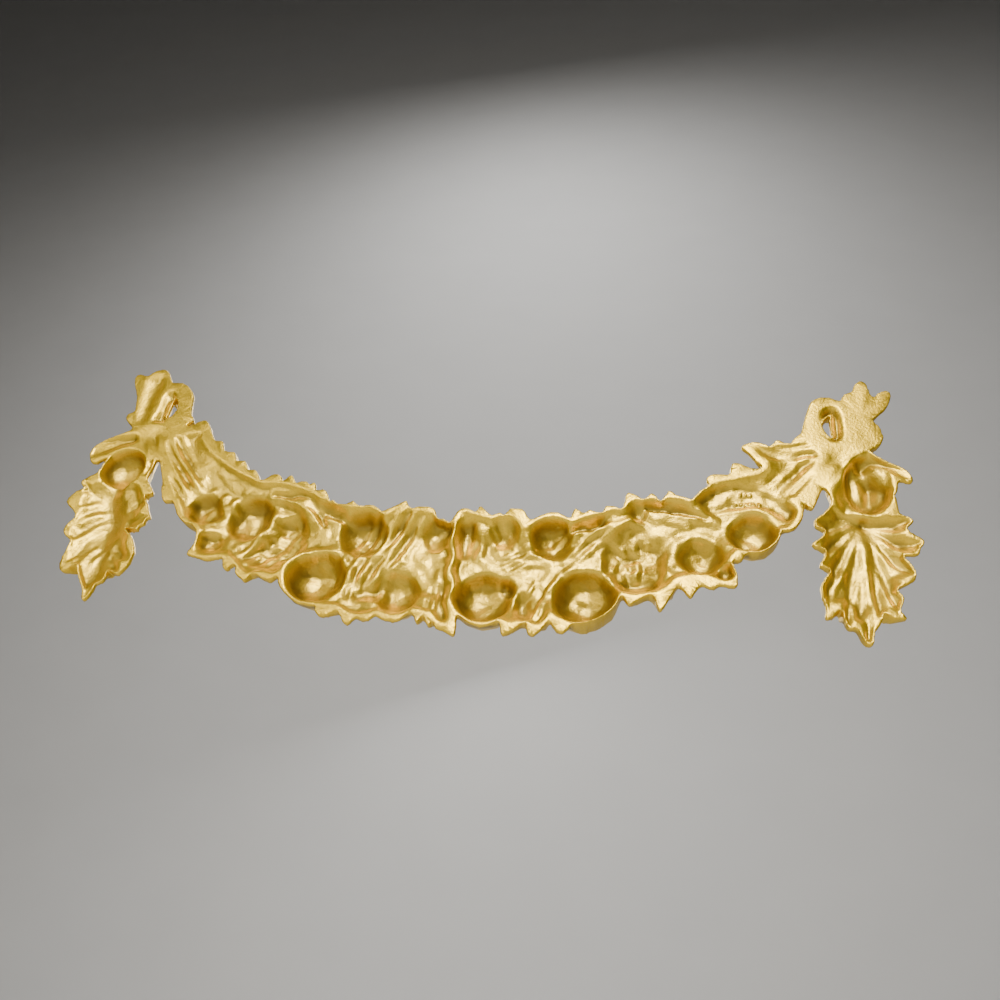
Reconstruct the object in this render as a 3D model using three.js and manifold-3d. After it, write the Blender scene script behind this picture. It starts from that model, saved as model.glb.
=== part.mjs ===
// Festoon swag ornament: one hollow casting of fruit and leaves, hung between two ribbon knots with drops.
// Millimetres, +Z up. The wall is the plane y = 0, the carved front looks towards -Y.
// The origin is on the flat back of the seam rib, in the middle of the swag.
import * as THREE from 'three';
import { mergeVertices } from 'three/addons/utils/BufferGeometryUtils.js';
import Module from 'manifold-3d';

// Driving sizes
const knotSpan = 470;
const swagSag = 105;
const bandWidth = 80;
const dropHeight = 139;
const dropWidth = 62;
const crestHeight = 55;
const fruitDepth = 27;
const leafDepth = 14;
const bandDepth = 11;
const wall = 3;
const landWidth = 3.5;
const bandHollow = 7;
const edgeThickness = 3;
const ribWidth = 7;
const ribDepth = 9;
const loopDepth = 8;
const loopBevel = 2;
const holeHeight = 20;
const holeWidth = 6.5;

// How finely the round forms are divided
const fruitRays = 12;
const pocketRays = 9;
const fluteRays = 7;
const foldRays = 6;
const berryRays = 6;
const fruitRings = 3;
const fluteRings = 2;
const bandSteps = 18;
const bandStrips = 8;
const curveSteps = 3;

const halfSpan = knotSpan / 2;
const halfBand = bandWidth / 2;
const overlap = 2;
const bandReach = 0.95;
const bandUpper = 0.84;
const bandLower = 0.84;
const rootGap = (100 * Math.PI) / 180;
const goldPaint = { color: 0xc9a563, roughness: 0.38, metalness: 0.75 };

const wasm = await Module();
wasm.setup();

// A closed geometry as a solid that can be joined and cut
function solid(geometry) {
  const bare = geometry.clone();
  bare.deleteAttribute('normal');
  bare.deleteAttribute('uv');
  const merged = mergeVertices(bare);
  const corners = merged.index.array;
  const faces = [];
  for (let first = 0; first < corners.length; first += 3) {
    const [a, b, c] = corners.slice(first, first + 3);
    if (a !== b && b !== c && c !== a) faces.push(a, b, c);
  }
  const vertProperties = new Float32Array(merged.attributes.position.array);
  return new wasm.Manifold(new wasm.Mesh({ numProp: 3, vertProperties, triVerts: new Uint32Array(faces) }));
}

function joined(parts) {
  return parts.reduce((whole, part) => whole.add(part));
}

// A point of the wall plane (x, z) on the garland: along runs from -1 at one knot to 1 at the other,
// across runs from -1 at the upper edge to 1 at the lower edge.
function onSwag(along, across) {
  const slope = new THREE.Vector2(halfSpan, 2 * swagSag * along).normalize();
  const centre = new THREE.Vector2(halfSpan * along, swagSag * along * along);
  return centre.add(new THREE.Vector2(slope.y, -slope.x).multiplyScalar(across * halfBand));
}

// A point beside a knot: side is 1 or -1, out points away from the middle of the swag
function byKnot(side, out, up) {
  return new THREE.Vector2(side * (halfSpan + out), swagSag + up);
}

// The bearing of a corner round its hub, from straight up towards +X
function bearing(hub, corner) {
  return Math.atan2(corner.x - hub.x, corner.y - hub.y);
}

// The point of a spine that is nearest to a corner. A spine is [start, end], or [centre, centre] for a round form.
function footOn([start, end], corner) {
  const run = end.clone().sub(start);
  const length = run.lengthSq();
  if (length === 0) return start.clone();
  const share = THREE.MathUtils.clamp(corner.clone().sub(start).dot(run) / length, 0, 1);
  return start.clone().addScaledVector(run, share);
}

// A raised form on the wall plane: rays run out from a spine to corners, each along its own profile of
// [share of the way out, depth], from the crown at the front to the wall.
function boss(spine, corners, profileOf) {
  const hub = spine[0].clone().lerp(spine[1], 0.5);
  const first = profileOf(0).map(([reach, depth]) => new THREE.Vector2(reach, -depth));
  const blank = new THREE.LatheGeometry(first, corners.length);
  const places = blank.attributes.position;
  for (let turn = 0; turn <= corners.length; turn += 1) {
    const ray = turn % corners.length;
    const foot = footOn(spine, corners[ray]);
    profileOf(ray).forEach(([reach, depth], step) => {
      const spot = reach === 0 ? hub : foot.clone().lerp(corners[ray], reach);
      places.setXYZ(turn * first.length + step, spot.x, -depth, spot.y);
    });
  }
  return solid(blank);
}

function ellipse(hub, length, width, lean, rays) {
  const corners = [];
  for (let ray = 0; ray < rays; ray += 1) {
    const angle = (2 * Math.PI * ray) / rays;
    const corner = new THREE.Vector2(width * Math.sin(angle), length * Math.cos(angle));
    corners.push(corner.rotateAround(new THREE.Vector2(), -lean).add(hub));
  }
  return corners;
}

// A dome's profile: fullness 2 is a ball and more is squarer
function domeProfile(depth, fullness, rings) {
  const steps = [[0, depth]];
  for (let ring = 1; ring < rings; ring += 1) {
    const angle = (Math.PI / 2) * (ring / rings);
    steps.push([Math.sin(angle) ** (2 / fullness), depth * Math.cos(angle) ** (2 / fullness)]);
  }
  return [...steps, [1, 0], [1, -overlap], [0, -overlap]];
}

const outer = [];
const pockets = [];

// A fruit is a full dome, and its back is a round pocket
function fruit(hub, radius, depth) {
  const spine = [hub, hub];
  const outside = domeProfile(depth, 2.3, fruitRings);
  const inside = domeProfile(depth - wall, 2.3, fruitRings);
  outer.push(boss(spine, ellipse(hub, radius + wall, radius + wall, 0, fruitRays), () => outside));
  pockets.push(boss(spine, ellipse(hub, radius, radius, 0, pocketRays), () => inside));
}

// A flute is a long low swelling, such as a fold of a leaf, a bud or a pod
function flute(start, end, width, depth) {
  const hub = start.clone().lerp(end, 0.5);
  const spine = [hub, hub];
  const run = end.clone().sub(start);
  const lean = Math.atan2(run.x, run.y);
  const half = run.length() / 2;
  const outside = domeProfile(depth, 2.6, fluteRings);
  const inside = domeProfile(depth - wall, 2.6, fluteRings);
  outer.push(boss(spine, ellipse(hub, half + wall, width / 2 + wall, lean, fluteRays), () => outside));
  pockets.push(boss(spine, ellipse(hub, half, width / 2, lean, foldRays), () => inside));
}

// The corners of a leaf: its tips, a notch between neighbours, and a round root where no tip points
function leafCorners(spine, tips, cut, rootRadius) {
  const hub = spine[0].clone().lerp(spine[1], 0.5);
  const ordered = [...tips].sort((one, two) => bearing(hub, one) - bearing(hub, two));
  const corners = [];
  ordered.forEach((tip, place) => {
    const next = ordered[(place + 1) % ordered.length];
    let gap = bearing(hub, next) - bearing(hub, tip);
    if (gap <= 0) gap += 2 * Math.PI;
    corners.push({ spot: tip, tip: true });
    if (gap < rootGap) {
      const middle = tip.clone().lerp(next, 0.5);
      corners.push({ spot: middle.lerp(footOn(spine, middle), cut), tip: false });
      return;
    }
    for (let stop = 1; stop <= 3; stop += 1) {
      const angle = bearing(hub, tip) + (gap * stop) / 4;
      const spot = new THREE.Vector2(Math.sin(angle), Math.cos(angle)).multiplyScalar(rootRadius);
      corners.push({ spot: spot.add(footOn(spine, hub.clone().add(spot))), tip: false });
    }
  });
  return corners;
}

// A leaf rises from its thin flat tips to its spine, with a rib along each tip and a crease in each notch
function leaf(spine, tips, depth, cut, rootRadius, ridge = []) {
  const corners = leafCorners(spine, tips, cut, rootRadius);
  outer.push(boss(spine, corners.map((corner) => corner.spot), (ray) => {
    const lift = corners[ray].tip ? 0.8 : 0.62;
    return [[0, depth], ...ridge, [0.5, depth * lift], [1, edgeThickness], [1, -overlap], [0, -overlap]];
  }));
  return corners;
}

// A hollow leaf keeps its height along its spine, and its pocket stops short of the tips, which are flat
function hollowLeaf(spine, tips, depth, cut, rootRadius) {
  const corners = leaf(spine, tips, depth, cut, rootRadius, [[0.16, depth * 0.97]]);
  const inset = corners.filter((corner) => !corner.tip).map(({ spot }) => {
    const foot = footOn(spine, spot);
    return foot.lerp(spot, Math.max(1 - landWidth / spot.distanceTo(foot), 0.2));
  });
  const floor = [[0, depth - wall], [0.25, depth - wall * 1.5], [1, 0], [1, -overlap], [0, -overlap]];
  pockets.push(boss(spine, inset, () => floor));
}

// How much of the ribbed end leaf shows in the band: 0 in the middle of the swag, 1 by the knots
function endShare(along) {
  return THREE.MathUtils.smoothstep(Math.abs(along), 0.68, 0.84);
}

// The band under the fruit and leaves. It is crowned across, narrows towards the knots, more below than
// above, and its ends are ribbed along. Its hollow is inset from the edges and leaves the wall all over.
function band(hollow) {
  const blank = new THREE.BoxGeometry(2, 1, 2, bandSteps, 1, bandStrips);
  const places = blank.attributes.position;
  for (let corner = 0; corner < places.count; corner += 1) {
    const along = places.getX(corner) * bandReach;
    const strip = -places.getZ(corner);
    const share = endShare(along);
    const upper = bandUpper - 0.42 * along ** 2;
    const lower = bandLower * (1 - 0.55 * (Math.abs(along) / 0.9) ** 10);
    const half = (strip < 0 ? upper : lower) - (hollow ? landWidth / halfBand : 0);
    const spot = onSwag(along, strip * half);
    const ribbed = Math.round((strip + 1) * bandStrips / 2) % 2 === 0 ? 1 : 1 - 0.35 * share;
    const crown = bandDepth * (1 + 0.2 * share) * ribbed;
    const rise = edgeThickness + (crown - edgeThickness) * (1 - strip ** 4);
    const floor = Math.min(rise - wall, THREE.MathUtils.lerp(bandHollow, crown, share));
    places.setXYZ(corner, spot.x, places.getY(corner) > 0 ? overlap : -(hollow ? floor : rise), spot.y);
  }
  return solid(blank);
}

// Fruit along the garland: place along and across, radius as a share of half the band, depth of fruitDepth
const garlandFruit = [
  [0.699, 0.39, 0.38, 0.82],
  [0.585, 0.08, 0.42, 0.9],
  [0.332, 0.47, 0.5, 1],
  [0.28, -0.38, 0.4, 0.86],
  [0.128, 0.42, 0.37, 0.84],
  [0.066, -0.62, 0.28, 0.66],
  [-0.141, -0.58, 0.33, 0.7],
  [-0.266, -0.48, 0.32, 0.76],
  [-0.085, 0.37, 0.46, 0.94],
  [-0.315, 0.56, 0.48, 1],
  [-0.594, 0.42, 0.37, 0.84],
  [-0.715, 0.44, 0.37, 0.82],
];

// Buds and folds: start, end, width as a share of half the band, depth as a share of fruitDepth
const garlandFlutes = [
  [0.04, -0.62, 0.21, 0.72, 0.22, 0.56],
  [0.09, -0.72, 0.25, 0.66, 0.22, 0.52],
  [0.15, -0.8, 0.22, -0.1, 0.22, 0.46],
  [0.24, 0.45, 0.25, 0.88, 0.24, 0.46],
  [0.035, -0.2, 0.05, 0.78, 0.24, 0.46],
  [-0.032, -0.92, -0.032, -0.18, 0.3, 0.66],
  [-0.13, -0.08, -0.16, 0.42, 0.3, 0.7],
  [-0.17, 0.25, -0.19, 0.82, 0.28, 0.56],
  [-0.28, -0.12, -0.22, 0.72, 0.2, 0.52],
  [-0.35, -0.65, -0.33, -0.05, 0.26, 0.46],
  [0.36, -0.6, 0.43, -0.2, 0.28, 0.46],
  [0.34, -0.34, 0.4, -0.02, 0.24, 0.46],
  [-0.49, -0.58, -0.53, -0.56, 0.24, 0.5],
  [-0.53, -0.34, -0.66, -0.34, 0.32, 0.6],
  [-0.65, -0.22, -0.84, 0.22, 0.5, 0.66],
  [-0.6, 0.78, -0.63, 0.92, 0.24, 0.4],
  [0.6, 0.62, 0.63, 0.9, 0.3, 0.46],
  [0.66, -0.32, 0.8, 0.2, 0.34, 0.6],
];

// Leaves along the garland: the root and the tips, each as along and across
const garlandLeaves = [
  [[-0.13, -0.5], [[-0.062, -1.17], [-0.121, -1.04], [-0.158, -1.12], [-0.193, -1.09]]],
  [[-0.38, -0.3], [[-0.353, -0.93], [-0.39, -0.88], [-0.436, -0.9]]],
  [[-0.55, -0.22], [[-0.504, -0.99], [-0.563, -0.86], [-0.607, -0.78]]],
  [[-0.76, 0], [[-0.655, -0.5], [-0.708, -0.74], [-0.782, -0.77]]],
  [[-0.93, -0.1], [[-0.834, -0.88], [-0.91, -0.68]]],
  [[-0.17, 0.45], [[-0.129, 1.06], [-0.191, 1.08], [-0.247, 1.1]]],
  [[-0.46, 0.36], [[-0.398, 0.93], [-0.455, 1.09], [-0.521, 1.06]]],
  [[-0.6, 0.45], [[-0.572, 1.04], [-0.612, 1.13], [-0.652, 0.86]]],
  [[-0.78, 0.2], [[-0.735, 0.82], [-0.79, 0.74], [-0.845, 0.57]]],
  [[0.12, -0.45], [[0.015, -1.14], [0.086, -1.06], [0.142, -1.08], [0.194, -1.15]]],
  [[0.4, -0.25], [[0.356, -0.91], [0.416, -0.84], [0.457, -0.9]]],
  [[0.56, -0.2], [[0.502, -0.94], [0.577, -0.88], [0.615, -0.8]]],
  [[0.76, 0], [[0.655, -0.55], [0.7, -0.74], [0.78, -0.78]]],
  [[0.93, -0.1], [[0.851, -0.6], [0.882, -0.77], [0.917, -0.75]]],
  [[0.22, 0.5], [[0.174, 1.02], [0.208, 1.13], [0.274, 1.12]]],
  [[0.02, 0.42], [[-0.027, 1.08], [0.03, 0.97], [0.063, 0.95]]],
  [[0.47, 0.4], [[0.415, 0.92], [0.478, 1.08], [0.535, 1.08]]],
  [[0.62, 0.5], [[0.587, 1.09], [0.634, 1.2], [0.665, 0.82]]],
  [[0.78, 0.2], [[0.735, 0.83], [0.79, 0.78], [0.84, 0.57]]],
];

// The bunch of berries on one side and the scaled cone on the other, as along and across
const bunchSite = [-0.456, 0.03];
const coneSite = [0.464, 0.2];

// The crest, tail and loop beside a knot, out and up as shares of the crest height
const crestSpine = [[0.1, 0.05], [0.27, 0.62]];
const crestTips = [[0.13, 0.78], [0.33, 0.99], [0.63, 0.84], [0.46, 0.25], [0.45, 0.06], [-0.03, 0.12], [0, 0.6]];
const tailSpine = [[0, -0.08], [0.45, -0.12]];
const tailTips = [[0.68, -0.24], [0.6, -0.32], [0.5, 0.02]];
const loopOutline = [
  [0.16, 0.68], [-0.11, 0.735], [-0.26, 0.67], [-0.345, 0.46], [-0.4, 0.26], [-0.51, 0.1], [-0.3, -0.06], [0.1, -0.1],
];

// The drop's leaf below a knot, out as a share of the drop's width and down as a share of its height
const dropSpine = [[0.1, -0.36], [-0.02, -0.84]];
const dropTips = [
  [0.55, -0.385], [0.6, -0.5], [0.49, -0.64], [0.34, -0.86], [-0.04, -1], [-0.18, -0.92],
  [-0.36, -0.87], [-0.39, -0.74], [-0.36, -0.63], [-0.39, -0.54], [-0.36, -0.43], [-0.2, -0.3], [0.4, -0.28],
];

const clusterRadius = halfBand * 0.54;

// The folded pocket behind a bunch or a cone
function foldedPocket(hub) {
  const inside = fruitDepth * 0.72 - wall;
  pockets.push(boss([hub, hub], ellipse(hub, clusterRadius, clusterRadius, 0, fruitRays), (ray) => {
    const fold = ray % 2 === 0 ? 0.75 : 0.6;
    return [[0, inside], [0.75, inside * fold], [1, 0], [1, -overlap], [0, -overlap]];
  }));
}

// A bunch of small round berries over a shared swelling
function bunch(hub) {
  const rim = clusterRadius + wall;
  outer.push(boss([hub, hub], ellipse(hub, rim, rim, 0, fruitRays), () => domeProfile(fruitDepth * 0.72, 2.4, 2)));
  const berryRadius = clusterRadius * 0.36;
  for (let place = 0; place < 7; place += 1) {
    const angle = (Math.PI / 3) * place;
    const reach = place < 6 ? clusterRadius * 0.68 : 0;
    const spot = new THREE.Vector2(Math.sin(angle), Math.cos(angle)).multiplyScalar(reach).add(hub);
    const berry = domeProfile(fruitDepth * (place < 6 ? 0.86 : 0.96), 5, fluteRings);
    outer.push(boss([spot, spot], ellipse(spot, berryRadius, berryRadius, 0, berryRays), () => berry));
  }
  foldedPocket(hub);
}

// A cone: its scales are ribs that swell and sink in turn round the crown
function cone(hub) {
  const rim = clusterRadius + wall;
  const crown = fruitDepth * 0.9;
  outer.push(boss([hub, hub], ellipse(hub, rim, rim, 0, fruitRays * 2), (ray) => {
    const scale = ray % 2 === 0 ? 1 : 0.86;
    return [[0, crown], [0.45, crown * 0.94 * scale], [0.85, crown * 0.66 * scale], [1, 0], [1, -overlap],
      [0, -overlap]];
  }));
  foldedPocket(hub);
}

function besideKnot(side, [out, up]) {
  return byKnot(side, out * crestHeight, up * crestHeight);
}

function onDrop(side, [out, down]) {
  return byKnot(side, out * dropWidth, down * dropHeight);
}

// A flat plate cut to a shape of the wall plane, with its front edge bevelled
function plate(shape, depth, bevel) {
  const blank = new THREE.ExtrudeGeometry(shape, {
    depth: depth + overlap - bevel,
    bevelEnabled: bevel > 0,
    bevelThickness: bevel,
    bevelSize: bevel,
    bevelOffset: -bevel,
    bevelSegments: 1,
    curveSegments: curveSteps,
  });
  return solid(blank.translate(0, 0, -overlap).rotateX(Math.PI / 2));
}

function ribbonLoop(side) {
  return plate(new THREE.Shape(loopOutline.map((spot) => besideKnot(side, spot))), loopDepth, loopBevel);
}

// The crescent hole between the loop and the crest, cut right through. A curve through two ends bulges by
// half as much as its control point stands off.
function loopHole(side) {
  const chord = besideKnot(side, [-0.04, 0.28]);
  const innerBulge = holeWidth * 0.25;
  const outline = new THREE.Shape().moveTo(chord.x, chord.y + holeHeight / 2);
  const bulgeTo = (bulge, height) => {
    outline.quadraticCurveTo(chord.x - side * bulge * 2, chord.y, chord.x, chord.y + height / 2);
  };
  bulgeTo(innerBulge + holeWidth, -holeHeight);
  bulgeTo(innerBulge, holeHeight);
  return plate(outline, fruitDepth * 2, 0);
}

// The knot, its ribbon loop, crest and tail, and the drop below: side is 1 or -1
function swagEnd(side) {
  const mirrored = (place, spots) => spots.map((spot) => place(side, spot));
  flute(besideKnot(side, [-0.24, 0.06]), besideKnot(side, [0.26, -0.06]), bandWidth * 0.24, fruitDepth * 0.62);
  flute(besideKnot(side, [-0.05, 0]), besideKnot(side, [-0.15, -0.86]), bandWidth * 0.09, leafDepth * 0.9);
  outer.push(ribbonLoop(side));
  hollowLeaf(mirrored(besideKnot, crestSpine), mirrored(besideKnot, crestTips), leafDepth * 0.85, 0.3, crestHeight * 0.2);
  hollowLeaf(mirrored(besideKnot, tailSpine), mirrored(besideKnot, tailTips), leafDepth * 0.8, 0.2, crestHeight * 0.18);
  flute(besideKnot(side, [0.1, 0]), besideKnot(side, [0.08, -0.6]), bandWidth * 0.28, leafDepth);
  fruit(onDrop(side, [0.14, -0.27]), bandWidth * 0.2, fruitDepth * 0.88);
  hollowLeaf(mirrored(onDrop, dropSpine), mirrored(onDrop, dropTips), leafDepth * 1.15, 0.24, dropWidth * 0.3);
}

outer.push(band(false));
pockets.push(band(true));
garlandFruit.forEach(([along, across, radius, depth]) => {
  fruit(onSwag(along, across), radius * halfBand, depth * fruitDepth);
});
garlandFlutes.forEach(([along, across, toAlong, toAcross, width, depth]) => {
  flute(onSwag(along, across), onSwag(toAlong, toAcross), width * halfBand, depth * fruitDepth);
});
garlandLeaves.forEach(([root, tips]) => {
  const points = tips.map((tip) => onSwag(...tip));
  const mean = points.reduce((sum, point) => sum.add(point), new THREE.Vector2()).divideScalar(points.length);
  const start = onSwag(...root);
  leaf([start, start.clone().lerp(mean, 0.4)], points, leafDepth, 0.28, halfBand * 0.26);
});
bunch(onSwag(...bunchSite));
cone(onSwag(...coneSite));
[-1, 1].forEach((side) => swagEnd(side));

// The seam rib crosses the hollow in the middle of the swag, flush with the wall
const ribHeight = bandWidth * 0.9;
const seamRib = solid(new THREE.BoxGeometry(ribWidth, ribDepth + overlap, ribHeight)
  .translate(0, (overlap - ribDepth) / 2, 0));
const wallSide = solid(new THREE.BoxGeometry(knotSpan * 3, fruitDepth * 2, (dropHeight + crestHeight) * 3)
  .translate(0, -fruitDepth, 0));
const holes = joined([-1, 1].map((side) => loopHole(side)));
const casting = joined(outer).subtract(joined(pockets)).add(seamRib).subtract(holes).intersect(wallSide);

// A solid's own faces as a geometry
function geometryOf(shape) {
  const mesh = shape.getMesh();
  const geometry = new THREE.BufferGeometry();
  geometry.setAttribute('position', new THREE.BufferAttribute(mesh.vertProperties, mesh.numProp));
  geometry.setIndex(new THREE.BufferAttribute(mesh.triVerts, 1));
  return geometry;
}

const group = new THREE.Group();
const castingMesh = new THREE.Mesh(geometryOf(casting), new THREE.MeshStandardMaterial(goldPaint));
castingMesh.name = 'festoon_casting';
group.add(castingMesh);

export default group;
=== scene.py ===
import math

import bpy
import numpy as np
import openvdb
from mathutils import Matrix, Vector


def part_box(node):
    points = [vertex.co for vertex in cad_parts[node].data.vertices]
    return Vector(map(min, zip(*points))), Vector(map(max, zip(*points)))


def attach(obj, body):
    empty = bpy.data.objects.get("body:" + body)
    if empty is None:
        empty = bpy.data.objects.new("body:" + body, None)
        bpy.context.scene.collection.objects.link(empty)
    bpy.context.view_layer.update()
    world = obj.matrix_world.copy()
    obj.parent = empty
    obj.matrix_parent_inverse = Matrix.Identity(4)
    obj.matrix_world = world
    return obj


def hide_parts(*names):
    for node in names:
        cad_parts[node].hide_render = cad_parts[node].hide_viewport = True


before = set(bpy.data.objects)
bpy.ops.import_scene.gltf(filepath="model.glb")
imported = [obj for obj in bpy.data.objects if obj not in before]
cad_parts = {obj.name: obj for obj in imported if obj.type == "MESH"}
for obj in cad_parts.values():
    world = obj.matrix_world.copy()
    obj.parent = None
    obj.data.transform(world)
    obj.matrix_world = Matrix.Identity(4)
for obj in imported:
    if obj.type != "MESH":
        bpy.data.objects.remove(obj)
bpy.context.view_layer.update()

MM = 0.001
FAR, TINY, HAIR = 1e9, 1e-9, 1e-6

# The carving's grid: its spacing, the room round the outline and how deep it goes
PITCH = 0.72
MARGIN = 5.0
DEEPEST = 28.5
TRIANGLES = 190000

# The thinnest wall in front of a hollow, and the thinnest edge
WALL = 2.1
THINNEST = 3.0

# Where the photograph's camera stands, from the middle of the swag: right, down and away
EYE_RIGHT, EYE_DOWN, EYE_HEIGHT = 98.06, 229.46, 414.63

low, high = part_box("festoon_casting")
xs = np.arange(low[0] / MM - MARGIN, high[0] / MM + MARGIN, PITCH)
zs = np.arange(low[2] / MM - MARGIN, high[2] / MM + MARGIN, PITCH)
X, Z = np.meshgrid(xs, zs, indexing="ij")
RIGHT, DOWN = -X, -Z
FREQUENCY = np.hypot(np.fft.fftfreq(len(xs), PITCH)[:, None],
                     np.fft.rfftfreq(len(zs), PITCH)[None, :])


# Fields over the wall plane: one value for each spot of the grid

def blur(field, radius):
    soft = np.fft.rfft2(field) * np.exp(-2 * (math.pi * radius * FREQUENCY) ** 2)
    return np.fft.irfft2(soft, s=field.shape)


def grain(seed, size):
    noise = np.random.default_rng(seed).standard_normal(X.shape)
    soft = blur(noise, size)
    return soft / soft.std()


def step(value, start, end):
    share = np.clip((value - start) / (end - start), 0, 1)
    return share * share * (3 - 2 * share)


# How strong a dome is at a share of its radius
def dome(reach):
    return np.sqrt(1 - np.minimum(reach, 1) ** 2)


def read(items, name, kind=float):
    values = np.empty(len(items) * 3, kind)
    items.foreach_get(name, values)
    return values.reshape(-1, 3)


# How far the solid's front stands from the wall plane, and 0 beside it
def cad_front():
    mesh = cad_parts["festoon_casting"].data
    mesh.calc_loop_triangles()
    places = read(mesh.vertices, "co") / MM
    depths = np.zeros(X.shape)
    for a, b, c in places[read(mesh.loop_triangles, "vertices", int)]:
        i0, i1 = np.searchsorted(xs, [min(a[0], b[0], c[0]), max(a[0], b[0], c[0])])
        k0, k1 = np.searchsorted(zs, [min(a[2], b[2], c[2]), max(a[2], b[2], c[2])])
        twice = (b[2] - c[2]) * (a[0] - c[0]) + (c[0] - b[0]) * (a[2] - c[2])
        if i0 == i1 or k0 == k1 or abs(twice) < TINY:
            continue
        spot = slice(i0, i1), slice(k0, k1)
        dx, dz = X[spot] - c[0], Z[spot] - c[2]
        u = ((b[2] - c[2]) * dx + (c[0] - b[0]) * dz) / twice
        v = ((c[2] - a[2]) * dx + (a[0] - c[0]) * dz) / twice
        inside = (u > -HAIR) & (v > -HAIR) & (u + v < 1 + HAIR)
        depth = -(u * a[1] + v * b[1] + (1 - u - v) * c[1])
        depths[spot] = np.where(inside, np.maximum(depths[spot], depth), depths[spot])
    return depths


# Tools for the carving

# The part of the grid round some points
def window(points, reach):
    right = [p for p, q in points]
    down = [q for p, q in points]
    i0, i1 = np.searchsorted(xs, [-max(right) - reach, -min(right) + reach])
    k0, k1 = np.searchsorted(zs, [-max(down) - reach, -min(down) + reach])
    return slice(i0, i1), slice(k0, k1)


# A smooth path through points
def curve(points, closed=False, steps=5):
    points = [np.array(p, float) for p in points]
    count = len(points) if closed else len(points) - 1
    path = []
    for k in range(count):
        if closed:
            a, b, c, d = (points[(k + j) % len(points)] for j in (-1, 0, 1, 2))
        else:
            b, c = points[k], points[k + 1]
            a = points[k - 1] if k else 2 * b - c
            d = points[k + 2] if k + 2 < len(points) else 2 * c - b
        for t in np.arange(steps) / steps:
            path.append(0.5 * (2 * b + (c - a) * t + (2 * a - 5 * b + 4 * c - d) * t**2
                               + (3 * b - a - 3 * c + d) * t**3))
    path.append(path[0] if closed else points[-1])
    return path


# At each spot of a window: how far a path is, the share of the way along it, and which side
def along(path, spot):
    right, down = RIGHT[spot], DOWN[spot]
    near = np.full(right.shape, FAR)
    part = np.zeros(right.shape)
    side = np.ones(right.shape)
    for k, (a, b) in enumerate(zip(path, path[1:])):
        run = b - a
        p, q = right - a[0], down - a[1]
        t = np.clip((p * run[0] + q * run[1]) / max(run @ run, TINY), 0, 1)
        gap = np.hypot(p - t * run[0], q - t * run[1])
        closer = gap < near
        part = np.where(closer, (k + t) / (len(path) - 1), part)
        side = np.where(closer, np.where(p * run[1] > q * run[0], 1, -1), side)
        near = np.minimum(gap, near)
    return near, part, side


def within(path, spot):
    right, down = RIGHT[spot], DOWN[spot]
    inside = np.zeros(right.shape, bool)
    for a, b in zip(path, path[1:]):
        crosses = (a[1] > down) != (b[1] > down)
        rise = b[1] - a[1] if b[1] != a[1] else TINY
        inside ^= crosses & (right < a[0] + (b[0] - a[0]) * (down - a[1]) / rise)
    return inside


# How deep a bank is, as a share: round with a crisp mouth, or soft at both ends at fullness 0
def sunk(share, fullness):
    if not fullness:
        return step(share, 0, 1)
    return (1 - (1 - share) ** fullness) ** (1 / fullness)


# Joins a hollow with what is there already, softly where the two meet
def join(spot, hollow, softness):
    here = back[spot]
    soft = np.minimum(softness, np.minimum(here, hollow)) + HAIR
    overlap = np.clip(soft - np.abs(here - hollow), 0, None)
    back[spot] = np.maximum(here, hollow) + overlap**2 / (4 * soft)


# A round or oval hollow
def dish(right, down, radius, depth, oval=1.0, lean=0.0, fullness=2.4, tint=0.8,
         softness=1.2):
    spot = window([(right, down)], max(radius, radius * oval) + 2)
    p, q = RIGHT[spot] - right, DOWN[spot] - down
    c, s = math.cos(math.radians(lean)), math.sin(math.radians(lean))
    reach = np.hypot((p * c + q * s) / radius, (q * c - p * s) / (radius * oval))
    join(spot, depth * sunk(1 - np.minimum(reach, 1), fullness), softness)
    # Painted shade on the bowl's walls, less towards its middle
    colour = tint * step(1 - reach, 0, 0.12) * (1 - 0.75 * step(0.55 - reach, 0, 0.45))
    painted_shade[spot] = np.maximum(painted_shade[spot], colour)


# A hollow inside a closed outline
def pool(outline, depth, bank, fullness=0.0, tint=0.0, softness=3.0):
    path = curve(outline, closed=True)
    spot = window(outline, 6)
    gap, _, _ = along(path, spot)
    share = np.zeros(X.shape)
    share[spot] = np.where(within(path, spot), np.clip(gap / bank, 0, 1), 0)
    hollow = depth * blur(sunk(share, fullness), bank / 9)
    join(spot, np.clip(hollow[spot], 0, None), softness)
    # Painted shade over the hollow, full beyond its bank
    painted_shade[spot] = np.maximum(painted_shade[spot], tint * step(share[spot], 0, 1))


# A long hollow along a path: widths and depths at its start, middle and end
def trough(points, widths, depths, fullness=0.0, tint=0.0, softness=2.5):
    spot = window(points, max(widths))
    gap, part, _ = along(curve(points), spot)
    width = np.interp(part, [0, 0.5, 1], widths)
    depth = np.interp(part, [0, 0.5, 1], depths)
    share = np.clip(1 - gap / np.maximum(width / 2, 0.1), 0, 1)
    join(spot, depth * sunk(share, fullness), softness)
    # Painted shade along the hollow, strongest near its middle line
    painted_shade[spot] = np.maximum(painted_shade[spot], tint * step(share, 0, 0.6))


# How much of a ridge's height there is near a path. It falls off at both ends.
def swell(points, width):
    spot = window(points, width + 1)
    gap, part, _ = along(curve(points), spot)
    middle = step(np.minimum(part, 1 - part), -0.05, 0.25)
    return spot, np.clip(1 - (gap / width) ** 2, 0, 1) ** 2 * middle


# Takes some depth off a hollow, but never stands proud of the wall plane
def fill(spot, height):
    back[spot] = np.maximum(back[spot] - height, np.minimum(back[spot], 0))


# A cast ridge along a path on a hollow's floor
def ridge(points, width, height):
    spot, share = swell(points, width)
    fill(spot, height * share)


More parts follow.
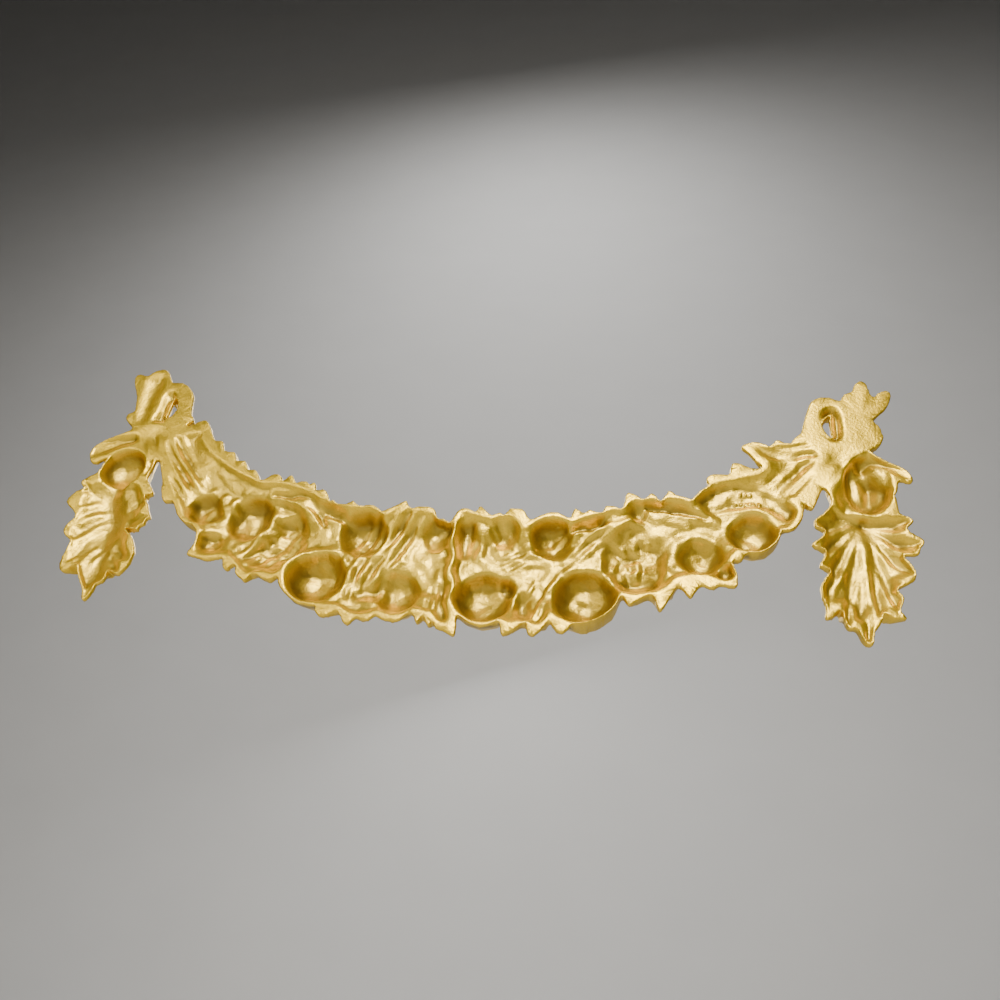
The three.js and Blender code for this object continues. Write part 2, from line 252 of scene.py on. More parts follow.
# Soft folds side by side, all running along a path
def folds(points, reach, pitch, height):
    spot = window(points, reach + 1)
    gap, part, side = along(curve(points), spot)
    wave = 0.5 + 0.5 * np.cos(2 * math.pi * (gap * side + 1.2 * np.sin(5 * part)) / pitch)
    near = (1 - step(gap, 0.6 * reach, reach)) * step(np.minimum(part, 1 - part), 0, 0.22)
    fill(spot, height * wave * near)


# A raised line on the front
def emboss(points, width, height):
    spot, share = swell(points, width)
    front[spot] += height * share


# Where a point on a floor really lies that is seen at (right, down) against the wall plane
def seen(right, down, depth):
    share = depth / EYE_HEIGHT
    return right + (right - EYE_RIGHT) * share, down + (down - EYE_DOWN) * share


def seen_path(points, depth):
    return [seen(right, down, depth) for right, down in points]


# Outlines seen from behind
SWAG_TOP = [
    (-222, -92), (-216, -106), (-207, -105), (-202, -109), (-197, -111), (-193, -107), (-190, -102),
    (-184, -93), (-178, -92.5), (-174, -84), (-166, -83), (-163, -76), (-156, -76), (-152, -69),
    (-146, -68.5), (-141, -61), (-138, -61), (-134, -65), (-130, -66.3), (-126.5, -63.5),
    (-125, -60.5), (-122, -64), (-120, -65.8), (-117, -62), (-114.5, -59.5), (-112, -60.8),
    (-107, -60.5), (-105.5, -58), (-103, -61), (-101, -58), (-100, -54), (-96, -55), (-93, -54),
    (-90, -49.5), (-89, -46.5), (-86.5, -47.3), (-84, -45), (-80, -44.3), (-76, -45), (-73, -47.3),
    (-70, -45), (-67, -43.3), (-61, -44.8), (-56, -43.2), (-52, -40.2), (-48, -42.5), (-43, -45.5),
    (-38, -49.2), (-36, -46), (-33, -43.5), (-29, -45), (-24, -45), (-19, -44.3), (-17, -41),
    (-15, -37), (-11, -36.5), (-7, -34.3), (-5, -38), (-3, -43), (0, -45), (4, -45), (8, -43),
    (9.5, -44), (11, -47.6), (14, -45), (17, -42), (20, -41), (24, -43.2), (27, -41.3), (30, -46.4),
    (34, -46.3), (38, -46.5), (41, -42), (44, -38.8), (49, -42), (55, -44.8), (61, -44.8),
    (66, -42), (68.5, -42), (70.5, -49), (74, -46.6), (77, -46), (80, -48.2), (84, -46.5),
    (88, -46.8), (89.5, -51.6), (95, -51.6), (100, -50.2), (101.8, -61), (104, -62.2), (109, -60),
    (113, -57.5), (117, -62.8), (120, -60.5), (123.5, -57.2), (128, -65.2), (132, -62),
    (138, -60.5), (142, -59.5), (147, -66), (152.5, -70.3), (150.8, -74), (153, -77.8),
    (158, -79.3), (165, -79.3), (166, -83), (167.5, -88), (171, -88.3), (176, -85.8), (181, -84.3),
    (185.5, -86.3), (181, -91.5), (177, -97.5), (173.3, -101.3), (178.5, -105), (185, -105.4),
    (191, -102.7), (194, -106), (196.5, -108.3), (200, -106), (205, -106), (212, -112), (222, -96),
]
SWAG_BOTTOM = [
    (224, -76), (220.8, -72.5), (217, -64), (213.3, -56), (210.3, -57), (208.2, -59.5),
    (207.5, -53), (205.8, -47.5), (202.5, -42), (198.3, -39.3), (194, -39.3), (192.5, -34.5),
    (189.5, -30), (185, -25.8), (180, -23), (173.3, -22.4), (170.8, -19), (168.3, -16.5),
    (164.3, -17.3), (166.7, -8.3), (166.7, -0.8), (163.5, 1.2), (157.5, -0.3), (152.5, 2.8),
    (146.7, 0.6), (143, 5), (140, 9.4), (136.7, 5), (133, 2.2), (130, 7.5), (127, 13), (123, 19.2),
    (120.8, 13), (119, 8.8), (115, 10), (110.8, 12.5), (105.3, 16.3), (103, 11.7), (100.8, 10.6),
    (99, 15), (95, 20.8), (88, 26.3), (80, 29.4), (74, 30.2), (71.7, 34), (67.5, 36.6),
    (63.3, 32.5), (60.8, 29.4), (57.5, 34), (53, 38.7), (50, 38.3), (48.3, 34), (47.3, 30.8),
    (41.7, 35.8), (35, 40), (33.3, 35), (32, 31.5), (25, 34.9), (18.3, 35), (11.7, 31.8), (7, 28.6),
    (7.6, 35), (8, 42), (4, 41.4), (0, 39), (-4, 38.3), (-6.7, 33), (-8.3, 37.8), (-11.7, 32.5),
    (-13.5, 31.5), (-15.8, 36.4), (-18.3, 31), (-21.7, 30), (-25, 33.5), (-30, 36), (-36.7, 34.8),
    (-41.7, 32.5), (-45, 36), (-50, 36), (-52.5, 34.5), (-55.8, 39), (-59, 39.2), (-61.7, 35),
    (-65.5, 31.5), (-70, 34.5), (-75, 35.5), (-78.3, 32.5), (-79.7, 29), (-90, 28.3), (-98.3, 23.3),
    (-105, 17.5), (-107.5, 12.5), (-109, 10.5), (-112, 13.5), (-116.7, 13.2), (-121.7, 10.6),
    (-125.8, 10.6), (-128.3, 16), (-131.7, 13.3), (-135.8, 10.8), (-137.5, 4.6), (-140, 4.8),
    (-143.3, 8.8), (-146.3, 5), (-147.5, 0.6), (-151.7, 0.8), (-158.3, 2.7), (-164, 0.8),
    (-172, -0.8), (-171.3, -5.8), (-170, -10), (-171.3, -16.7), (-173.3, -20), (-176.7, -23.3),
    (-181.7, -24.4), (-186.7, -27.5), (-190, -30.8), (-192.5, -35), (-196.7, -40.6), (-200, -40.8),
    (-203.3, -40.3), (-205.8, -44.2), (-208.3, -50), (-210, -56.7), (-213.3, -63.3),
    (-215.8, -68.3), (-218.3, -72.8), (-224, -78),
]
LEFT_DROP = [
    (-238, -84), (-250, -78), (-258.5, -72), (-260, -62), (-264, -58.7), (-269, -54),
    (-267.5, -50.5), (-263.8, -48.3), (-268, -46), (-271.7, -41), (-272.2, -36), (-269, -33),
    (-264, -29.5), (-260.8, -24.5), (-263.5, -20), (-264.7, -15), (-262, -10.5), (-256.7, -7.5),
    (-255.6, -2), (-256.2, 6), (-255.2, 12.3), (-252, 16.2), (-248, 14.5), (-244.8, 10.2),
    (-241, 16), (-236, 23), (-232, 28), (-230.3, 33), (-228.5, 35.6), (-226.3, 33), (-225, 28),
    (-225, 23.3), (-221.3, 22.4), (-220, 18), (-221, 13.8), (-217.5, 14.5), (-213.5, 16.2),
    (-210, 12), (-208, 5), (-208.5, -1), (-212, -8), (-217, -14), (-223.4, -18.6), (-218, -18),
    (-212.3, -17), (-213, -20.7), (-209.3, -21.5), (-210.3, -25.8), (-207.3, -27), (-210.5, -32),
    (-214, -38.5), (-218.8, -44.6), (-212.8, -45.6), (-216, -51), (-221.7, -58), (-222, -62),
    (-221, -68), (-222, -76), (-227, -77.5),
]
LEFT_BOW = [
    (-236, -146), (-243, -157), (-249, -158.7), (-254, -157), (-256.5, -153.3), (-260, -152.3),
    (-265, -153.8), (-267.7, -150), (-264, -141), (-259, -132), (-256.5, -124), (-254.8, -117),
    (-257.5, -115.7), (-259.7, -112), (-256, -107), (-250.8, -102.5), (-252, -99), (-260, -94),
    (-268, -89), (-273, -82), (-272.7, -76), (-269, -70), (-265, -69.3), (-261, -73), (-256, -74),
    (-238, -72), (-224, -72), (-214, -92), (-212, -104), (-206.3, -110), (-210, -116),
    (-212.5, -124), (-214, -132), (-218, -139), (-224, -144.3), (-230, -146.3),
]
RIGHT_BOW = [
    (205, -107), (211, -114), (214, -124), (217, -134), (220, -141), (226, -145.3), (233, -144.8),
    (238, -142), (240, -146), (243, -149.3), (247, -151), (249, -157), (253.5, -160.8),
    (256.7, -157), (257.5, -150), (259.5, -146.3), (263, -150), (268, -152.4), (270.7, -149.5),
    (268.5, -142), (264.5, -135), (259, -129.5), (256.3, -126), (259.5, -122), (261, -113),
    (258, -106), (251.5, -102), (256, -97), (263, -92), (270, -88), (273.2, -82), (272, -77.6),
    (266, -79.5), (264, -75), (262.3, -69.5), (255, -70), (225, -70), (212, -92),
]
RIGHT_DROP = [
    (220, -84), (220.8, -72.5), (224, -66.7), (223.3, -59), (218.3, -52.5), (213, -47.5),
    (213.6, -42.3), (218.4, -41.7), (216.7, -36.7), (210, -31), (212.5, -28.5), (217, -27.5),
    (215.8, -21.7), (212.7, -15.8), (219, -14.7), (215, -8.3), (212, -1.7), (212.5, 5), (214, 11.7),
    (212.3, 17.8), (217, 15.8), (221.9, 10.5), (222.5, 16.7), (224, 22), (226.5, 22.8),
    (228.5, 21.5), (231, 28), (234.2, 32.2), (236.7, 29.2), (237.6, 23.3), (240.8, 19.2),
    (243.3, 14.2), (244.4, 11.2), (248.5, 14.4), (256.2, 14.6), (252.7, 10), (255, 5), (255.9, 0.8),
    (253, -3.5), (257.5, -6.7), (263.3, -10), (264.9, -15.8), (262.5, -21.7), (259.6, -25.9),
    (264.2, -26.5), (268.4, -27.2), (270, -31.7), (273, -35.8), (270, -39.2), (265.8, -42.5),
    (264.8, -45.8), (269.4, -50), (266.7, -52.7), (262.2, -55.2), (261.7, -62), (261, -70),
    (255, -82),
]
LEFT_HOLE = [
    (-228.5, -132), (-225, -128), (-222.7, -122), (-223.8, -115.5), (-227.5, -110.5), (-228, -116),
    (-227.5, -122), (-227.8, -128),
]
RIGHT_HOLE = [
    (232.5, -131.5), (228, -127.5), (225.2, -121.5), (226.4, -115), (230.6, -110), (229.4, -115),
    (229.4, -121.5), (230, -127.5),
]
OUTLINES = [SWAG_TOP + SWAG_BOTTOM, LEFT_DROP, LEFT_BOW, RIGHT_BOW, RIGHT_DROP]

# The mouths of the long hollows
SWAG_HOLLOW = [
    (-221, -90), (-213, -98), (-204, -100), (-196, -101), (-192, -92), (-180, -80), (-165, -69),
    (-150, -62), (-138, -57), (-128, -58), (-118, -56.5), (-108, -53.5), (-100, -49), (-92, -44.5),
    (-84, -41.5), (-76, -41.8), (-68, -40.5), (-61, -40.8), (-52, -37.2), (-45, -41), (-37, -43),
    (-30, -41), (-20, -40), (-13, -34), (-7, -31), (-4.5, -34), (-2, -40), (2, -41.8), (7, -40),
    (14, -38), (24, -35), (31, -33), (38, -31.5), (44, -33.5), (50, -38.5), (58, -40.8),
    (66, -38.5), (71, -37), (78, -37.5), (86, -40.5), (93, -44.5), (99, -47.5), (104, -52),
    (109, -55), (113, -54.5), (118, -55.8), (128, -56.5), (138, -56.5), (143, -57), (149, -65),
    (156, -70), (164, -72.5), (172, -76), (180, -79), (190, -86), (186, -94), (180, -100),
    (186, -101.5), (200, -102), (214, -104), (220, -92), (214, -76), (207, -66), (204, -56),
    (202, -48), (197, -42.5), (190.5, -40), (189, -34), (183, -27.8), (176, -25.3), (169, -26),
    (164, -22), (160.5, -14), (163, -7), (160, -4), (150, -7.5), (140, -7), (131, -4), (128, 0),
    (122, 5), (115, 7), (106, 8.5), (100, 7), (97.5, 14), (92, 20.5), (85, 25.5), (76, 27.6),
    (66, 26), (61, 22), (58, 27), (54, 31.5), (50, 30), (44, 28.5), (38, 31), (31, 28.5),
    (22, 31.6), (12, 29), (5.5, 24), (3.5, 30), (1, 34), (-3, 33), (-8, 28), (-14, 27), (-20, 25.5),
    (-25, 29.3), (-33, 31), (-41, 28.5), (-47, 31), (-54, 32), (-61, 29.5), (-67, 26.5),
    (-76, 26.8), (-85, 25.6), (-94, 23.4), (-101, 17), (-104, 10), (-106, 5), (-112, 8.5),
    (-120, 7), (-128, 9.5), (-135, 5), (-140, 0), (-146, -3), (-152, -4), (-160, -2.5),
    (-168, -4.5), (-166, -12), (-168, -20), (-176, -26.5), (-184, -30), (-188.5, -37), (-193, -43),
    (-200, -45), (-204, -52), (-208, -62), (-213, -74),
]
LEFT_DROP_HOLLOW = [
    (-260, -50), (-257, -54), (-248, -54), (-240, -53), (-230, -55), (-223, -50), (-219, -43),
    (-216, -34), (-218, -26), (-224, -20), (-219, -12), (-214, -3), (-213, 4), (-217, 9), (-222, 9),
    (-225, 15), (-228, 22), (-232, 22), (-238, 13), (-243, 7), (-248, 9), (-252, 11), (-253, 4),
    (-253, -5), (-257, -10), (-262, -14), (-261, -20), (-257, -24), (-260, -31), (-263, -38),
    (-262, -45),
]
RIGHT_DROP_HOLLOW = [
    (226, -70), (226, -58), (221, -50), (218, -46), (221, -40), (217, -33), (221, -27), (217, -18),
    (222, -13), (217, -6), (215, 3), (217, 11), (221, 8), (225, 9), (226, 17), (231, 20), (234, 26),
    (236, 20), (240, 13), (243, 9), (248, 11), (252, 10), (250, 3), (251, -4), (257, -9),
    (262, -13), (260, -20), (255, -26), (262, -29), (268, -33), (265, -39), (260, -45), (264, -50),
    (258, -54), (258, -64), (256, -78), (248, -86), (236, -84),
]


def path_of(points):
    return curve(points, closed=True, steps=2)


# The spots inside the outline
def cut_out():
    inside = np.zeros(X.shape, bool)
    for points in OUTLINES:
        spot = window(points, 0)
        inside[spot] |= within(path_of(points), spot)
    for points in (LEFT_HOLE, RIGHT_HOLE):
        spot = window(points, 0)
        inside[spot] &= ~within(path_of(points), spot)
    return inside


# The outline's spots, and how far inside it they are: 1 from a few mm inwards
shape = cut_out()
core = step(blur(shape * 1.0, 2.5), 0.9, 1)

# The front: the solid's, with its sharp steps filled and a dome on each knot
SOLID_BLUR = 1.1
KNOT_RIGHT, KNOT_DOWN, KNOT_WIDE, KNOT_HIGH, KNOT_DEPTH = 229, -93, 20, 15, 9
front = cad_front()
cover = np.maximum(blur((front > 0) * 1.0, SOLID_BLUR), 1e-3)
front = np.maximum(np.where(front > 0, blur(front, SOLID_BLUR) / cover, 0), THINNEST)
for radius in (4.5, 3.0):
    front = np.maximum(front, blur(front, radius) * core)
for side in (-1, 1):
    reach = np.hypot((RIGHT - side * KNOT_RIGHT) / KNOT_WIDE, (DOWN - KNOT_DOWN) / KNOT_HIGH)
    front = np.where(shape, np.maximum(front, KNOT_DEPTH * dome(reach)), front)
front = np.maximum(front, blur(front, 2.0) * core)

# The back: how deep it is hollowed, and how much painted shade lies on it
back = np.zeros(X.shape)
painted_shade = np.zeros(X.shape)


# The swag's hollow is deepest between the stems, which are shallow and have soft edges
def swag_hollow():
    spot = window(SWAG_HOLLOW, 0)
    path = path_of(SWAG_HOLLOW)
    gap, _, _ = along(path, spot)
    stem = step(np.abs(RIGHT[spot]), 160, 188) * step(-DOWN[spot], 40, 52)
    inside = within(path, spot)
    deep = np.where(inside, gap, 0)
    middle = 2.8 * sunk(np.clip(deep / 2.6, 0, 1), 2) + 4.6 * step(deep, 0, 16)
    end = 1.2 * step(deep, 0, 3) + 2.6 * step(deep, 0, 12)
    back[spot] = middle + (end - middle) * stem


swag_hollow()
pool(LEFT_DROP_HOLLOW, 3.6, 5)
pool(RIGHT_DROP_HOLLOW, 4.2, 7)

# Grooves of the swag's webs and leaves
trough([(-128, -51), (-112, -49), (-98, -42), (-90, -31)], (8, 14, 12), (8, 10, 10))
trough([(-102, -45), (-92, -41), (-80, -37), (-72, -31)], (8, 15, 10), (8, 11, 9))
trough([(62, -6), (56, 7), (49, 26)], (6, 9, 6), (8, 11, 8), tint=0.15)
trough([(53, -4), (49, 9), (46, 17)], (5, 7, 5), (8, 10, 8), tint=0.1)
trough([(115, -54), (132, -53), (152, -48)], (8, 13, 9), (8, 11.5, 9), tint=0.1)
pool([(143.5, -57), (150, -67), (160, -73), (172, -75), (184, -72), (196, -65), (205, -55),
      (201, -46), (193, -46), (184, -52), (172, -53), (158, -51)], 5.2, 4.5)
trough([(102, -48), (92, -43), (80, -38), (70, -34)], (6, 11, 8), (8, 10, 8))

# Fruit hollows: right, down, radius, lip, and how much painted shade lies on the bowl's walls
FRUIT = [
    (-84.5, 7.5, 18.2, 0.6, 0.75),
    (-62.5, -25.0, 16.8, 0.12, 0.55),
    (-32.0, 13.5, 14.8, 0.1, 0.45),
    (-141.0, -33.0, 17.0, 0.16, 0.75),
    (-173.0, -38.5, 12.6, 0.1, 1.0),
    (20.5, 13.6, 17.8, 0.1, 0.7),
    (79.7, 10.2, 18.8, 0.25, 0.9),
    (58.0, -26.6, 13.8, 0.12, 0.7),
    (146.6, -22.0, 14.2, 0.2, 0.7),
    (177.0, -38.5, 14.2, 0.28, 0.5),
]
BOWL = 0.98
for right, down, radius, _, tint in FRUIT:
    dish(right, down, radius, BOWL * radius, fullness=2.15, tint=tint)
trough(seen_path([(-33, 14), (-44, 19), (-55, 22.5)], 9), (22, 17, 8), (13, 11, 7.6),
       fullness=2, tint=0.3)
dish(-243.5, -66.5, 15.2, 13, fullness=2.1, tint=0.4)
dish(-14.5, -25.5, 11.5, 11, oval=1.15, lean=20, fullness=2, tint=0.2)
dish(4, -24, 7.5, 10.5, oval=2.2, fullness=2, tint=0.1)
dish(110, -49, 7.2, 7.6, fullness=2, tint=0.1)
dish(-160, -13, 9.5, 9, oval=0.9, fullness=2, tint=0.05)
dish(44, 17.5, 6.6, 11, oval=1.9, lean=-8, fullness=2, tint=0.35)
dish(31.5, 7, 8.5, 15.5, fullness=2, tint=0.4)
dish(-115, -15, 16.5, 13, oval=1.5, lean=42, fullness=2.1, tint=0.12)
dish(-111, -26, 13, 14, oval=1.1, fullness=2, tint=0.2)
dish(160, -10, 5.6, 8, fullness=2, tint=0.2)
dish(27.5, -27, 11.5, 10.4, oval=1.15, fullness=1.6, tint=0.05, softness=1.5)
dish(108, -18.5, 22, 13, oval=1.15, lean=20, fullness=2.3, tint=0.12)
dish(110, -3, 9, 14, oval=1.6, lean=85, fullness=2, tint=0.35, softness=3)

# Drops
trough([(-245, -52), (-246, -42), (-240, -28), (-237, -10), (-232, 8), (-228, 32)],
       (24, 50, 18), (7.5, 9.8, 3), fullness=1.15)
# Painted shade on the drop's bank beside its groove, with hardly any depth
pool([(-245, -56), (-233, -54), (-226, -42), (-229, -27), (-224, -12), (-224, 2), (-231, 8),
      (-238, -11), (-241, -28), (-247, -42)], 0.1, 5, tint=0.75)
for right, down, depth in ((-213, -46, 3), (-209, -28, 3.4), (-210, 4, 3.4), (-214, 15, 2.6),
                           (-269, -53, 2.6)):
    inner = (-232 + 0.35 * (right + 232), -16 + 0.62 * (down + 16))
    middle = (0.4 * inner[0] + 0.6 * right, 0.4 * inner[1] + 0.6 * down + 1)
    trough([inner, middle, (right, down)], (10, 11, 3), (depth + 2, depth + 0.8, 1.2),
           softness=4)
dish(247, -76, 13.5, 13, oval=1.6, lean=4, fullness=2.2, tint=0.45)
HEART = (242, -50)
for right, down, bow in ((214, -46, -4), (211, -31, -6), (213, -17, -5), (212, 14, -8),
                         (224, 20, -4), (234, 30, 0), (243, 16, 3), (254, 12, 5), (264, -15, 6),
                         (271, -34, 6), (267, -51, 4)):
    middle = (0.4 * HEART[0] + 0.6 * right, 0.4 * HEART[1] + 0.6 * down + bow)
    trough([HEART, middle, (right, down)], (8, 16, 5), (6.2, 5.8, 2.2), softness=5)

# Bows: the recess beside each hanging hole, and soft hollows in tail, knot and end leaf
pool([(-237, -134), (-232.5, -138), (-228, -133), (-224.5, -127), (-222.5, -121),
      (-224.5, -114), (-229, -109), (-238, -108.5), (-236.5, -118), (-237, -128)],
     7.5, 8, fullness=1.2)
pool([(226, -132), (232, -137), (236, -134), (237, -124), (236, -112), (231, -108.5),
      (227, -112), (225, -121)], 7.5, 6, fullness=1.2, tint=0.3)
trough([(-271, -80), (-260, -87), (-246, -92)], (14, 17, 12), (2.6, 4.2, 3))
dish(-231, -91, 17, 2.2, oval=0.9, lean=30, fullness=0, tint=0, softness=3)
dish(234, -92, 17, 1.5, oval=0.85, lean=-30, fullness=0, tint=0, softness=3)
pool([(-258, -150), (-246, -156), (-239, -146), (-240, -125), (-241, -106), (-251, -106),
      (-255, -122), (-258, -138)], 3.0, 10)
trough([(177, -102.5), (194, -97), (216, -98)], (4, 11, 10), (1.5, 4, 4))
trough([(187, -104), (200, -102.5), (214, -105)], (3, 6, 5), (1, 2.4, 2))
trough([(250, -97), (262, -90), (269, -83)], (9, 12, 6), (3, 4, 3))
trough([(-224.5, -76), (-224, -63)], (6, 7, 5), (3, 3, 2))


# The front's shape drawn inwards by a wall's thickness
def inner_face(thickness):
    drawn = front - thickness
    for share, turns in ((0.55, 8), (0.95, 12)):
        for turn in range(turns):
            angle = 2 * math.pi * turn / turns
            i = round(thickness * share * math.cos(angle) / PITCH)
            k = round(thickness * share * math.sin(angle) / PITCH)
            sag = thickness * math.sqrt(1 - share**2)
            drawn = np.minimum(drawn, np.roll(front, (i, k), (0, 1)) - sag)
    return drawn


# Hollows stay inside the front's shape. What is raised on their floors comes after.
back = np.clip(np.minimum(back, blur(inner_face(WALL), 1.4)), 0, None)
plain = back.copy()

# A lip round each fruit hollow. Its height is a share of the depth beside it.
LIP = 2.4
for right, down, radius, height, _ in FRUIT:
    spot = window([(right, down)], radius + 4 * LIP)
    reach = np.hypot(RIGHT[spot] - right, DOWN[spot] - down) - radius
    edge = step(reach, -0.8, 0.4) * (1 - step(reach, LIP * 0.4, LIP * 2.6))
    back[spot] *= 1 - 0.55 * height * edge

# The seam between the two halves
ridge([(-3.5, -42), (-2.2, -33), (-4, -22), (-1.4, -12), (-2.2, -2), (1.4, 8), (0.2, 18),
       (3.4, 28), (3, 38)], 5.2, 4.6)

# Folds of the swag, left half
folds(seen_path([(-20, -70), (-33, -42), (-43, -18), (-53, 2), (-60, 30)], 7), 21, 8.2, 2.2)
ridge(seen_path([(-27, -36), (-38, -16), (-50, 2)], 7), 3, 1.4)
folds([(-9, -8), (-8, 12), (-10, 32)], 8, 6.2, 1.4)
folds([(-62, -2), (-61, 14), (-60, 28)], 7, 6.0, 1.2)
ridge(seen_path([(-132, -48), (-117, -46), (-103, -40), (-94, -26)], 5), 7, 3.6)
ridge(seen_path([(-121, -36), (-126, -24), (-126, -12)], 6), 6, 3.2)
ridge(seen_path([(-95, -32), (-88, -22), (-80, -12)], 8), 7, 1.6)
ridge([(-109, 12), (-104, -3), (-94, -12)], 3.4, 2.8)
folds(seen_path([(-108, -14), (-120, -4), (-132, 8)], 9), 17, 7.6, 1.7)
folds([(-150, -16), (-145, -4), (-141, 5)], 6, 6, 1.0)
ridge(seen_path([(-153, -44), (-157, -36), (-153, -28)], 13), 5, 2.0)
ridge(seen_path([(-144, -42), (-148, -35), (-143, -28)], 14), 3.4, 1.0)
folds([(-168, -14), (-152, -12)], 6, 6, 0.7)
folds(seen_path([(-228, -98), (-212, -76), (-198, -58), (-184, -40)], 3.5), 18, 8.0, 3.4)
folds([(-226, -99), (-206, -98), (-188, -103)], 9, 7, 0.8)

# Folds of the swag, right half
ridge([(10, -37), (15, -24), (12, -8)], 4.2, 2.4)
folds([(20, -38), (27, -27), (31, -14)], 9, 5.2, 1.0)
ridge([(37, -33), (44, -24), (44, -14)], 7, 1.6)
folds(seen_path([(58, -10), (44, -10), (26, -2)], 8), 9, 6.0, 1.3)
folds(seen_path([(106, -47), (96, -38), (80, -25), (62, -7)], 8), 14, 6.6, 1.6)
ridge([(60, 0), (54, 14), (51, 30)], 3.4, 3)
ridge([(52, -2), (47, 12)], 3.0, 1.8)
ridge(seen_path([(117, -49), (135, -46), (160, -40)], 9), 6.0, 3.0)
ridge(seen_path([(122, -41), (133, -40), (142, -34)], 8), 4.4, 1.2)
ridge([(154, -51), (166, -55), (184, -55), (198, -47)], 3.6, 1.8)
ridge([(197, -66), (206, -56), (202, -46)], 4.6, 2.6)
folds(seen_path([(228, -96), (208, -76), (190, -60)], 3.5), 18, 8.4, 1.5)
folds(seen_path([(170, -103), (195, -96), (222, -98)], 2.5), 10, 6.6, 1.5)

# The bunch: a raised middle and fingers below it
ridge(seen_path([(92, -21), (106, -25), (124, -28)], 11), 13, 3.4)
ridge(seen_path([(88, -33), (100, -34), (112, -38)], 10), 6, 1.4)
FINGERS = [(95, 1.6), (102.5, 1.1), (109, 2.0), (117.5, 1.3), (125, 1.7)]
for k, (right, height) in enumerate(FINGERS):
    finger = [(right + 2, -13 - k), (right, -4 - k), (right - 2 + k, 5 - 1.4 * k)]
    ridge(seen_path(finger, 7.5), 4.2, height)

# Uneven fruit floors
for right, down, radius, _, _ in FRUIT:
    turn = 0.37 * right
    p, q = 0.45 * radius * math.cos(turn), 0.45 * radius * math.sin(turn)
    ridge([(right - p, down - q), (right, down + 0.15 * radius), (right + p, down + q)],
          0.32 * radius, 0.7)

# Folds of the drops
folds(seen_path([(-237, -30), (-249, -19), (-260, -4)], 6), 17, 9.2, 1.5)
folds(seen_path([(-233, -4), (-237, 6), (-240, 18)], 5), 8, 7, 1.2)
ridge([(237, -96), (244, -82), (243, -60)], 6.5, 3.0)
ridge([(250, -96), (255, -80), (252, -62)], 5.5, 2.4)
ridge([(232, -57), (246, -53), (260, -58)], 6, 2.6)
ridge([(242, -54), (240, -20), (237, 8), (234, 28)], 4.4, 2.2)

# Cast unevenness, coarser in the bunches, and land that stays flat at the rim
crinkles = 0.28 * grain(3, 1.4) + 0.42 * grain(5, 3.2)
for right, down in ((108, -22), (-114, -18)):
    crinkles += 0.45 * grain(11, 1.2) * step(20 - np.hypot(RIGHT - right, DOWN - down), 0, 8)
crinkles *= 1 - 0.6 * step(np.abs(RIGHT), 214, 222) * step(DOWN, -78, -60)
back += crinkles * step(back, 1.2, 4.5)
rim = step(blur(shape * 1.0, 1.2), 0.8, 0.99)
back = np.clip(blur(back, 0.85) * rim, 0, None)

# The front follows the folds of the back, more softly
front += 0.5 * np.clip(blur(back - plain, 1.0), -4, 0) * step(plain, 2, 5)

# Shallow worn strokes in two rows, which aren't letters
STROKE_GAP = 2.6
for row, first, last in ((-62.5, 171, 181), (-56, 168, 185)):
    for k in range(int((last - first) / STROKE_GAP)):
        right = first + STROKE_GAP * k
        tilt = 0.5 * ((k * 7) % 3 - 1)
        ridge(seen_path([(right, row - 1.5), (right + tilt, row + 1.5)], 6), 1.0, 1.2)
        if k % 2:
            ridge(seen_path([(right, row + 0.2), (right + 1.8, row - 0.3)], 6), 0.9, 1.1)
back = blur(back, 0.3)

# Painted shade: steep walls are darker than floors and land
slope = np.hypot(*np.gradient(blur(back, 0.5), PITCH))
painted_shade = np.maximum(painted_shade, 0.18 * step(blur(slope, 0.6), 0.6, 1.8))


# Details of the front: a vein to each sharp tip, calyx points, berries and scales
def veins(points, length):
    for k, tip in enumerate(points):
        a, b = (np.subtract(points[(k + turn) % len(points)], tip) for turn in (-1, 1))
        a, b = a / np.hypot(*a), b / np.hypot(*b)
        inward = a + b
        if a[0] * b[1] < a[1] * b[0] and np.hypot(*inward) > 0.9:
            inward /= np.hypot(*inward)
            emboss([tip + r * inward for r in (1.2, 0.6 * length, length)], 2.2, 1.3)


def berry(right, down, radius, height):
    spot = window([(right, down)], radius)
    reach = np.hypot(RIGHT[spot] - right, DOWN[spot] - down) / radius
    front[spot] += height * dome(reach)


veins(SWAG_TOP + SWAG_BOTTOM, 11)
for points in (LEFT_DROP, RIGHT_DROP):
    veins(points, 17)
for points in (LEFT_BOW, RIGHT_BOW):
    veins(points, 9)
for right, down, radius, _, _ in FRUIT:
    for turn in range(5):
        c, d = math.cos(1.26 * turn + 0.1 * right), math.sin(1.26 * turn + 0.1 * right)
        emboss([(right + r * c, down + r * d) for r in (1.2, 0.2 * radius, 0.36 * radius)],
               1.7, 1.1)
BERRY_GAP = 6.6
for row in range(5):
    for k in range(5):
        right, down = 95 + BERRY_GAP * (k + row % 2 / 2), -30 + 6 * row
        if math.hypot(right - 109, (down + 17) / 1.1) < 17:
            berry(right, down, 3.6, 2.0)
CONE_RIGHT, CONE_DOWN, SCALES = -115, -15, 0.62
spot = window([(CONE_RIGHT, CONE_DOWN)], 26)
p, q = RIGHT[spot] - CONE_RIGHT, DOWN[spot] - CONE_DOWN
scales = np.cos(SCALES * (p + q)) * np.cos(SCALES * (p - 0.8 * q))
front[spot] += scales * step(22 - np.hypot(p * 1.2, q), 0, 6)
emboss([(-236, -50), (-239, -20), (-234, 8), (-229, 30)], 3.4, 1.6)
emboss([(240, -50), (240, -20), (237, 6), (234, 28)], 3.4, 1.6)
